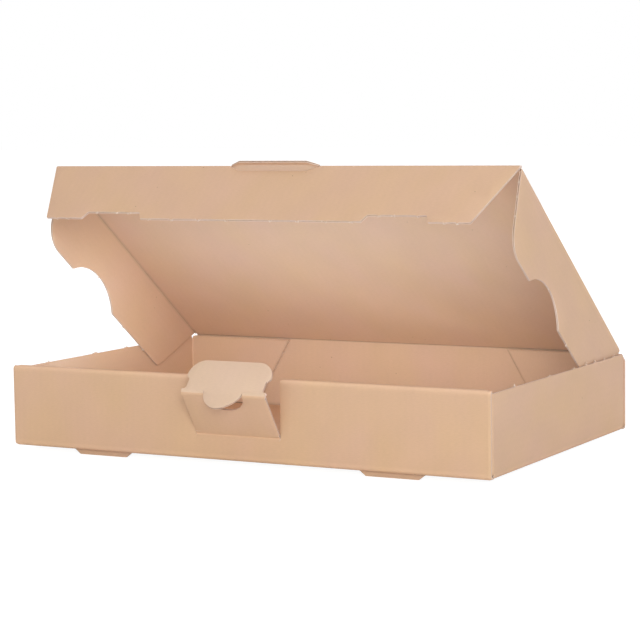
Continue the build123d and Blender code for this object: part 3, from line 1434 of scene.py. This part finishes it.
@dataclass
class FrontFlap:
    """The flap on the lid's front edge, with its slot and the recesses in its lower edge."""

    creases: Creases
    foot_gap: float = 0.6 * MM
    taper: float = 12.0 * MM
    slot_half_width: float = 23.2 * MM
    slot_narrowing: float = 5.4 * MM
    slot_depth: float = 3.8 * MM
    recess_inner: float = 57.0 * MM
    recess_outer: float = 89.5 * MM
    recess_side_run: float = 2.0 * MM
    recess_height: float = 4.0 * MM
    crease_inset: float = 0.3 * MM
    corner_nicks: tuple[float, ...] = (0.3, 0.62)
    recess_nicks: tuple[float, ...] = (0.15, 0.55, 0.8)
    middle_nicks: tuple[float, ...] = (0.08, 0.3, 0.55, 0.8)
    tear: Tear = Tear()
    seed: int = 5

    @property
    def length(self) -> float:
        """From the crease to the lower edge."""
        return self.creases.hinge.z - BOARD.thickness - self.foot_gap

    def half_outline(self, rng: random.Random, torn: list[Flat]) -> Loop:
        """Return the right half of the cut outline, from the slot to the middle of the lower edge.

        Args:
            rng: Source of the tears' unevenness.
            torn: Takes the place of each tear.

        Returns:
            The outline's points.
        """
        wide, low = self.creases.lid_half, self.length
        top = low - self.recess_height
        inner, outer = self.recess_inner, self.recess_outer
        points: Loop = [
            (self.slot_half_width - self.slot_narrowing, self.slot_depth),
            (self.slot_half_width, BOARD.crease_half),
            (wide, BOARD.crease_half),
            (wide - self.taper, low),
        ]
        points += self.tear.along(points[-1], (outer, low), self.corner_nicks, rng, torn)
        points.append((outer - self.recess_side_run, top))
        recess_end = (inner + self.recess_side_run, top)
        points += self.tear.along(points[-1], recess_end, self.recess_nicks, rng, torn)
        points.append((inner, low))
        points += self.tear.along(points[-1], (0.0, low), self.middle_nicks, rng, torn)
        return points

    def leaf(self) -> Leaf:
        """Lay out the front flap.

        Returns:
            The front flap as one cut sheet.
        """
        outline, torn = cut_halves(self.half_outline, self.seed)
        plane = FlatLeaf(self.creases.fold, self.creases.flap_down)
        return Leaf("front_flap_board", [outline], plane.place, creased=(BOARD.crease_half,), torn=torn)


@dataclass
class Lock:
    """The lock leaf of the front wall, and the tuck panel with its thumb tongue."""

    creases: Creases
    half_width: float = 21.5 * MM
    tuck_length: float = 17.0 * MM
    neck_inset: float = 1.9 * MM
    neck_start: float = 2.6 * MM
    neck_end: float = 6.8 * MM
    ear_start: float = 8.8 * MM
    corner_radius: float = 8.1 * MM
    thumb_half: float = 9.6 * MM
    thumb_depth: float = 8.6 * MM
    thumb_power: float = 1.65
    hole_power: float = 2.2
    thumb_curl: float = 0.23
    thumb_gap: float = 0.3 * MM
    least_step: float = 0.05 * MM
    arc_steps: int = 22
    curl_rows: tuple[float, ...] = (0.0, 1.5 * MM, 3.0 * MM, 5.0 * MM, 7.0 * MM)

    def thumb(self, gap: float, middle: float, from_crease: float, power: float) -> Loop:
        """Return the thumb cut, the lower half of a rounded outline, from right to left.

        Args:
            gap: How far it stands outside the tongue's own edge.
            middle: Where the crease lies along the leaf.
            from_crease: Distance below the crease at which it starts.
            power: How full its curve is: 2 for an ellipse, less for straighter sides.

        Returns:
            Points of the cut.
        """
        wide, deep = self.thumb_half + gap, self.thumb_depth + gap
        points: Loop = []
        for step in range(self.arc_steps + 1):
            turn = math.pi * step / self.arc_steps
            x = math.copysign(abs(math.cos(turn)) ** (2 / power), math.cos(turn)) * wide
            s = math.sin(turn) ** (2 / power) * deep
            if s > max(from_crease, 0.0) + self.least_step:
                points.append((x, middle + s))
        edge = wide if from_crease <= 0 else wide * (1 - (from_crease / deep) ** power) ** (1 / power)
        return [(edge, middle + from_crease), *points, (-edge, middle + from_crease)]

    def lock_leaf(self) -> Leaf:
        """Lay out the leaf that leans out of the front wall.

        Returns:
            The leaf. Its s runs down, as on the front wall.
        """
        c = self.creases
        reach = (c.tuck - c.lock).length
        wide, low, top = self.half_width, -BOARD.crease_half, -reach + BOARD.crease_half
        arc = self.thumb(self.thumb_gap, -reach, BOARD.crease_half, self.hole_power)
        outline: Loop = [(-wide, low), (-wide, top), *reversed(arc), (wide, top), (wide, low)]
        return Leaf("lock_board", [outline], FlatLeaf(c.lock, -c.lock_up).place, creased=(low, top))

    def tuck_leaf(self) -> Leaf:
        """Lay out the panel that folds over the lock leaf.

        Returns:
            The panel. Its s also runs towards the floor.
        """
        ear, neck, crease = self.half_width, self.half_width - self.neck_inset, BOARD.crease_half
        side: Loop = [
            (ear, -crease),
            (neck, -self.neck_start),
            (neck, -self.neck_end),
            (ear, -self.ear_start),
            (ear, -self.tuck_length),
            (0.0, -self.tuck_length),
        ]
        half = rounded(side, {4: self.corner_radius})
        arc = self.thumb(0.0, 0.0, -crease, self.thumb_power)
        outline = both_sides(half, half) + list(reversed(arc))
        plane = FlatLeaf(self.creases.tuck, -self.creases.tuck_inward, self.thumb_curl)
        return Leaf("tuck_board", [outline], plane.place, list(self.curl_rows), creased=(-crease,))


@dataclass(frozen=True)
class CreaseStrip:
    """The crushed board along a crease, bent to the angle between the two leaves."""

    name: str
    origin: Vector
    before: Vector
    after: Vector
    outward: Vector
    spans: tuple[tuple[float, float], ...]
    bodies: tuple[str, str]
    # Whether the tuck side of the outside is drawn with the painted sheen.
    painted_sheen: bool = False
    overlap: float = 0.7 * MM
    dent: float = 0.3 * MM
    buried: float = 0.02 * MM
    blend_share: float = 0.8
    same_direction: float = 1e-4
    steps: int = 6

    def section(self) -> list[tuple[Vector, Vector, float, float]]:
        """Lay out the strip's middle line.

        Returns:
            Its points, each with its outward direction, its place in the flat and half its thickness.
        """
        reach, far = BOARD.crease_half, BOARD.crease_half + self.overlap
        full = BOARD.middle - self.buried
        turn = self.before.angle(self.after)
        if (Matrix.Rotation(turn, 3, ACROSS) @ self.before - self.after).length >= self.same_direction:
            turn = -turn
        start, end = self.origin - self.before * reach, self.origin + self.after * reach
        found = [(self.origin - self.before * far, self.outward, -far, full)]
        for step in range(self.steps + 1):
            share = step / self.steps
            point = start.lerp(self.origin, share).lerp(self.origin.lerp(end, share), share)
            out = Matrix.Rotation(turn * share, 3, ACROSS) @ self.outward
            half = full - self.dent * math.sin(math.pi * share) ** 2
            found.append((point, out, -reach + 2 * reach * share, half))
        last_out = Matrix.Rotation(turn, 3, ACROSS) @ self.outward
        found.append((self.origin + self.after * far, last_out, far, full))
        return found

    def build(self, materials: Sequence[Material]) -> bpy.types.Object:
        """Make the strip, with its ends inside the two leaves.

        Args:
            materials: One for each kind of face.

        Returns:
            The finished piece.
        """
        parts = MeshParts()
        section = self.section()
        ring = [(point + out * half, s) for point, out, s, half in section]
        ring += [(point - out * half, s) for point, out, s, half in reversed(section)]
        size = len(section)
        for low, high in self.spans:
            count = int((high - low) / BOARD.grid) + 2
            places = np.linspace(low, high, count)
            points = np.array([(x, point.y, point.z) for x in places for point, _ in ring])
            flat = np.array([(x, s) for x in places for _, s in ring])
            faces: list[list[int]] = []
            kinds: list[int] = []
            total = len(ring)
            for slab in range(count - 1):
                for k in range(total):
                    a, b = slab * total + k, slab * total + (k + 1) % total
                    faces.append([a, b, b + total, a + total])
                    edge = k in (size - 1, total - 1)
                    outer = k < size - 1
                    kind = Face.CUT if edge else (Face.OUTSIDE if outer else Face.INSIDE)
                    # The tuck side of the outside gets the painted sheen, as the tuck panel does.
                    if self.painted_sheen and kind is Face.OUTSIDE and ring[k][1] + ring[k + 1][1] > 0:
                        kind = Face.PAINTED_SHEEN
                    kinds.append(kind.value)
            for start in (0, (count - 1) * total):
                for k in range(size - 1):
                    quad = [start + k, start + total - 1 - k, start + total - 2 - k, start + k + 1]
                    faces.append(quad if start == 0 else list(reversed(quad)))
                    kinds.append(Face.CUT.value)
            # The crease's mark, strongest in its middle: a paler line outside and painted shade in the
            # crease inside.
            tone_and_painted_light = np.clip(1 - np.abs(flat[:, 1]) / BOARD.crease_half, 0, 1)
            parts.add(points, flat, tone_and_painted_light, faces, kinds)
        piece = parts.build(self.name, materials)
        if signed_volume(piece.data) < 0:
            piece.data.flip_normals()
        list(self.bodies)
        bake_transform(piece)
        return piece


def signed_volume(mesh: bpy.types.Mesh) -> float:
    """Measure the space inside a closed mesh.

    Args:
        mesh: The mesh.

    Returns:
        Its volume, which is negative where its faces point inwards.
    """
    total = 0.0
    for polygon in mesh.polygons:
        corners = [mesh.vertices[index].co for index in polygon.vertices]
        for k in range(1, len(corners) - 1):
            total += corners[0].dot(corners[k].cross(corners[k + 1]))
    return total / 6


@dataclass(frozen=True)
class Grain:
    """How fine a pattern of the paper is: its scale across and along the flat sheet, and its detail."""

    scale: Triple
    detail: float


@dataclass(frozen=True)
class KraftFinish:
    """Unbleached paper with fibres, soft mottling, the flutes' faint relief with painted shade along them,
    and a few dark specks.
    """

    name: str
    colour: Triple
    mottle: float = 0.05
    hue: float = 0.05
    fibre: float = 0.06
    # Painted shade along the flutes' washboard ridges, as a share of the tone.
    flutes: float = 0.006
    specks: float = 0.4
    # Factor on the marks: above 0, paler fold lines and a painted highlight; below 0, painted shade in
    # creases and a painted shadow along cut edges.
    tone_and_painted_light: float = 0.12
    flute_height: float = 0.008 * MM
    fibre_height: float = 0.015 * MM
    roughness: float = 0.85
    specular: float = 0.25
    mottle_grain: Grain = Grain((55.0, 40.0, 1.0), 3.0)
    blotch_grain: Grain = Grain((38.0, 22.0, 7.0), 2.0)
    fibre_grain: Grain = Grain((500.0, 2600.0, 1.0), 3.0)
    fine_grain: Grain = Grain((2600.0, 3400.0, 1.0), 1.0)
    speck_scale: float = 160.0
    speck_size: float = 0.045
    speck_rarity: float = 0.86
    green_share: float = -0.4
    blue_share: float = 2.2

    def build(self) -> Material:
        """Make the material.

        Returns:
            The material, with every pattern laid out on the flat sheet.
        """
        material = bpy.data.materials.new(self.name)
        material.use_nodes = True
        graph = ShaderGraph(material.node_tree)
        point = graph.node("ShaderNodeUVMap", settings={"uv_map": BLANK_MAP}).outputs[0]
        fibre = graph.noise(point, self.fibre_grain)
        split = graph.node("ShaderNodeSeparateXYZ", point)
        turns = graph.math("MULTIPLY", split.outputs["X"], math.tau / BOARD.flute_pitch)
        wave = graph.math("COSINE", turns)
        tone = self.tone(graph, point, fibre, wave)
        plain = graph.vector_math("SCALE", linear(self.colour), Scale=tone)
        warm = graph.swing(graph.noise(point, self.blotch_grain), self.hue)
        shares = (self.green_share, self.blue_share)
        green, blue = (graph.math("ADD", 1.0, graph.math("MULTIPLY", warm, share)) for share in shares)
        shift = graph.node("ShaderNodeCombineXYZ", 1.0, green, blue)
        relief = graph.math("MULTIPLY", wave, self.flute_height / 2)
        relief = graph.math("ADD", relief, graph.math("MULTIPLY", fibre, self.fibre_height))
        fine = graph.noise(point, self.fine_grain)
        relief = graph.math("ADD", relief, graph.math("MULTIPLY", fine, self.fibre_height / 2))
        bump = graph.node("ShaderNodeBump", Strength=1.0, Distance=1.0, Height=relief)
        shader = graph.node(
            "ShaderNodeBsdfPrincipled",
            Base_Color=graph.vector_math("MULTIPLY", plain, shift.outputs[0]),
            Roughness=self.roughness,
            Specular_IOR_Level=self.specular,
            Normal=bump.outputs[0],
        )
        graph.node("ShaderNodeOutputMaterial", Surface=shader.outputs[0])
        return material

    def tone(self, graph: ShaderGraph, point: Socket, fibre: Socket, wave: Socket) -> Socket:
        """Work out how light the paper is at each place.

        Args:
            graph: The material's nodes.
            point: Place in the flat sheet.
            fibre: The fibres' pattern.
            wave: The flutes' wave.

        Returns:
            The lightness, about 1.
        """
        tone = graph.math("ADD", 1.0, graph.swing(graph.noise(point, self.mottle_grain), self.mottle))
        tone = graph.math("ADD", tone, graph.swing(fibre, self.fibre))
        # Painted shade along the flutes' washboard ridges.
        tone = graph.math("ADD", tone, graph.math("MULTIPLY", wave, self.flutes / 2))
        cells = graph.node("ShaderNodeTexVoronoi", Vector=point, Scale=self.speck_scale)
        near = graph.math("LESS_THAN", cells.outputs["Distance"], self.speck_size)
        chance = graph.node("ShaderNodeSeparateXYZ", cells.outputs["Color"]).outputs["X"]
        rare = graph.math("GREATER_THAN", chance, self.speck_rarity)
        speck = graph.math("MULTIPLY", graph.math("MULTIPLY", near, rare), self.specks)
        tone = graph.math("MULTIPLY", tone, graph.math("SUBTRACT", 1.0, speck))
        # Marks along folds and edges: paler fold lines, painted highlight, painted shade and painted
        # shadow, as the finish's factor gives.
        tone_and_painted_light = graph.node("ShaderNodeAttribute", settings={"attribute_name": TONE_AND_LIGHT_ATTRIBUTE})
        return graph.math("ADD", tone, graph.math("MULTIPLY", tone_and_painted_light.outputs["Fac"], self.tone_and_painted_light))


class ShaderGraph(NodeGraph):
    """Short ways to add nodes to a material or a world."""

    def noise(self, point: Socket, grain: Grain) -> Socket:
        """Add a noise texture on a stretched place, and return its value."""
        place = self.node("ShaderNodeMapping", point, Scale=grain.scale).outputs[0]
        return self.node("ShaderNodeTexNoise", Vector=place, Scale=1.0, Detail=grain.detail).outputs["Fac"]

    def swing(self, value: Socket, amount: float) -> Socket:
        """Turn a value from 0 to 1 into one that swings by an amount about 0."""
        return self.math("MULTIPLY", self.math("SUBTRACT", value, 0.5), 2 * amount)

    def end(self, kind: str, real: bpy.types.Node, seen: bpy.types.Node) -> None:
        """End the nodes with one shader for the light and another that the camera sees.

        Args:
            kind: The type of the last node.
            real: Shader for the light.
            seen: Shader that the camera sees.
        """
        camera_ray = self.node("ShaderNodeLightPath").outputs["Is Camera Ray"]
        choice = self.node("ShaderNodeMixShader", camera_ray, real.outputs[0], seen.outputs[0])
        self.node(kind, Surface=choice.outputs[0])


@dataclass(frozen=True)
class Lamp:
    """A soft oblong lamp that faces a given point and doesn't show itself."""

    name: str
    place: Triple
    size: tuple[float, float]
    power: float
    aim: Triple = (0.0, 0.0, 0.05)
    colour: Triple = (1.0, 1.0, 1.0)
    spread: float = math.pi

    def build(self) -> None:
        """Add the lamp."""
        data = bpy.data.lights.new(self.name, "AREA")
        data.shape = "RECTANGLE"
        data.size, data.size_y = self.size
        data.energy = self.power
        data.color = self.colour
        data.spread = self.spread
        lamp = add_object(self.name, data)
        lamp.location = self.place
        lamp.rotation_mode = "QUATERNION"
        lamp.rotation_quaternion = (Vector(self.aim) - lamp.location).to_track_quat("-Z", "Y")
        lamp.visible_camera = False


@dataclass(frozen=True)
class Studio:
    """White surroundings, soft light and the photograph's camera."""

    focal_px: float = 2098.0
    frame_px: float = 640.0
    sensor: float = 36.0
    far_clip: float = 20.0
    place: Triple = (477.0 * MM, -873.7 * MM, 153.4 * MM)
    yaw: float = math.radians(28.69)
    pitch: float = math.radians(5.58)
    roll: float = math.radians(-0.848)
    world_light: float = 0.42
    floor_white: float = 0.85
    floor_glow: float = 0.95
    floor_seen_white: float = 0.22
    floor_half: float = 4.0
    floor_gap: float = 0.02 * MM
    lamps: tuple[Lamp, ...] = (
        Lamp("overhead", (0.0, 0.2, 2.0), (1.5, 1.5), 13.1, colour=(0.81, 0.8, 1.0)),
        Lamp("low_right", (0.8, -0.12, 0.03), (0.8, 0.8), 2.2, colour=(0.55, 0.72, 1.0)),
        Lamp("key", (0.9, -1.5, 0.5), (0.8, 0.8), 16.0, colour=(0.98, 1.0, 0.94)),
        Lamp("behind", (-0.7, 1.5, 0.7), (0.9, 0.9), 14.4),
        Lamp("inside", (0.0, -0.06, 0.02), (0.2, 0.02), 0.112, (0.0, 0.02, 0.12), (0.58, 0.82, 1.0)),
        Lamp("tray_floor", (0.0, 0.0, 0.006), (0.2, 0.12), 0.011, (0.0, 0.0, 1.0), (1.0, 0.72, 0.3)),
        Lamp(
            "tray_right",
            place=(0.09, 0.055, 0.03),
            size=(0.03, 0.01),
            power=0.0028,
            aim=(-0.118, 0.0, 0.08),
            colour=(0.9, 1.0, 0.95),
            spread=math.radians(35.0),
        ),
    )

    def camera(self) -> None:
        """Place the camera where the photograph was taken from."""
        data = bpy.data.cameras.new("camera")
        data.sensor_width = self.sensor
        data.lens = self.focal_px / self.frame_px * self.sensor
        data.clip_end = self.far_clip
        camera = add_object("camera", data)
        forward = Vector((
            -math.sin(self.yaw) * math.cos(self.pitch),
            math.cos(self.yaw) * math.cos(self.pitch),
            -math.sin(self.pitch),
        ))
        right = Vector((math.cos(self.yaw), math.sin(self.yaw), 0))
        down = forward.cross(right)
        level = right * math.cos(self.roll) - down * math.sin(self.roll)
        plumb = right * math.sin(self.roll) + down * math.cos(self.roll)
        turned = Matrix((level, -plumb, -forward)).transposed()
        camera.matrix_world = Matrix.Translation(self.place) @ turned.to_4x4()
        bpy.context.scene.camera = camera

    def world(self) -> None:
        """Light the scene evenly, and show white behind the box."""
        world = bpy.data.worlds.new("white_room")
        bpy.context.scene.world = world
        world.use_nodes = True
        graph = ShaderGraph(world.node_tree)
        light = graph.node("ShaderNodeBackground", self.grey(1.0), self.world_light)
        seen = graph.node("ShaderNodeBackground", self.grey(1.0))
        graph.end("ShaderNodeOutputWorld", light, seen)

    def grey(self, value: float) -> tuple[float, ...]:
        """Return a plain grey as a colour socket takes it."""
        return (value, value, value, 1.0)

    def floor(self, tray: Tray) -> None:
        """Lay a white floor under the tabs and the rear edge on which the box rests.

        Args:
            tray: The tray, which knows how the box leans.
        """
        rear = tray.creases.half_depth - BOARD.thickness
        slope = math.tan(tray.lean)
        corners = rectangle(-self.floor_half, -self.floor_half, self.floor_half, self.floor_half)
        mesh = bpy.data.meshes.new("floor")
        points = [(x, y, (y - rear) * slope - self.floor_gap) for x, y in corners]
        mesh.from_pydata(points, [], [[0, 1, 2, 3]])
        material = bpy.data.materials.new("white_floor")
        material.use_nodes = True
        graph = ShaderGraph(material.node_tree)
        glow = graph.node("ShaderNodeEmission", Strength=self.floor_glow)
        shaded = graph.node("ShaderNodeBsdfDiffuse", self.grey(self.floor_seen_white))
        seen = graph.node("ShaderNodeAddShader", glow.outputs[0], shaded.outputs[0])
        real = graph.node("ShaderNodeBsdfDiffuse", self.grey(self.floor_white))
        graph.end("ShaderNodeOutputMaterial", real, seen)
        mesh.materials.append(material)
        add_object("floor", mesh)

    def build(self, tray: Tray) -> None:
        """Set up the whole studio.

        Args:
            tray: The tray, under which the floor lies.
        """
        self.camera()
        self.world()
        self.floor(tray)
        for lamp in self.lamps:
            lamp.build()
        bpy.context.scene.view_settings.view_transform = "Standard"


def make_creases(c: Creases, flap: FrontFlap, lock: Lock) -> list[CreaseStrip]:
    """Return the crushed strips along the creases that turn.

    Args:
        c: The creases' places.
        flap: The front flap, for its slot.
        lock: The lock, for its thumb cut.

    Returns:
        One strip for each crease.
    """
    panel_half = c.lid_half - BOARD.outer_radius
    front_half = c.lid_half - flap.crease_inset
    thumb = lock.thumb_half + lock.thumb_gap
    return [
        CreaseStrip(
            "lid_hinge_crease",
            origin=c.hinge,
            before=UP,
            after=c.lid_forward,
            outward=outer_side(UP),
            spans=((-panel_half, panel_half),),
            bodies=("tray", "lid"),
        ),
        CreaseStrip(
            "front_flap_crease",
            origin=c.fold,
            before=c.lid_forward,
            after=c.flap_down,
            outward=c.lid_outward,
            spans=((-front_half, -flap.slot_half_width), (flap.slot_half_width, front_half)),
            bodies=("lid", "front_flap"),
        ),
        CreaseStrip(
            "lock_crease",
            origin=c.lock,
            before=UP,
            after=c.lock_up,
            outward=-outer_side(UP),
            spans=((-lock.half_width, lock.half_width),),
            bodies=("tray", "lock_flap"),
        ),
        CreaseStrip(
            "tuck_crease",
            origin=c.tuck,
            before=c.lock_up,
            after=c.tuck_inward,
            outward=-outer_side(c.lock_up),
            spans=((-lock.half_width, -thumb), (thumb, lock.half_width)),
            bodies=("lock_flap", "tuck_panel"),
            painted_sheen=True,
        ),
    ]


def main() -> None:
    """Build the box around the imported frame, then the studio."""
    logging.basicConfig(level=logging.INFO, format="%(message)s")
    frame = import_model()
    creases = Creases.from_frame(frame)
    materials = [
        KraftFinish("kraft_outside", (216, 178, 146)).build(),
        # Inside, the marks become painted shade in the creases, a painted shadow line along the rear corner
        # flaps' edges, and paler lines on the corner bends.
        KraftFinish("kraft_inside", (212, 175, 147), tone_and_painted_light=-0.32).build(),
        KraftFinish("cut_edge", (230, 206, 191), specks=0.0).build(),
        KraftFinish("flute_paper", (208, 174, 146), specks=0.0).build(),
        # Paler, less saturated outside: a painted sheen of the light from above on the tuck panel.
        KraftFinish("kraft_painted_sheen", (224, 193, 166), mottle=0.025, hue=0.03, tone_and_painted_light=0.06).build(),
    ]
    flutes = FluteMaker(materials[Face.FLUTE.value])
    flap, lock = FrontFlap(creases), Lock(creases)
    tray = Tray(creases, lock)
    leaves = {
        "tray": tray.leaf(),
        "lid": Lid(creases).leaf(),
        "front_flap": flap.leaf(),
        "lock_flap": lock.lock_leaf(),
        "tuck_panel": lock.tuck_leaf(),
    }
    # The tuck panel's outside is drawn with the painted sheen.
    paler = [materials[Face.PAINTED_SHEEN.value], *materials[1:]]
    fibres = FibreMaker(KraftFinish("torn_fibre", (234, 212, 194), specks=0.0).build())
    for node, leaf in leaves.items():
        piece = leaf.build(flutes, paler if node == "tuck_panel" else materials)
        if leaf.torn:
            tufts = fibres.make(leaf)
            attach(tufts, node)
        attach(piece, node)
        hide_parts(node)
    for strip in make_creases(creases, flap, lock):
        strip.build(materials)
    Studio().build(tray)


if __name__ == "__main__":
    main()
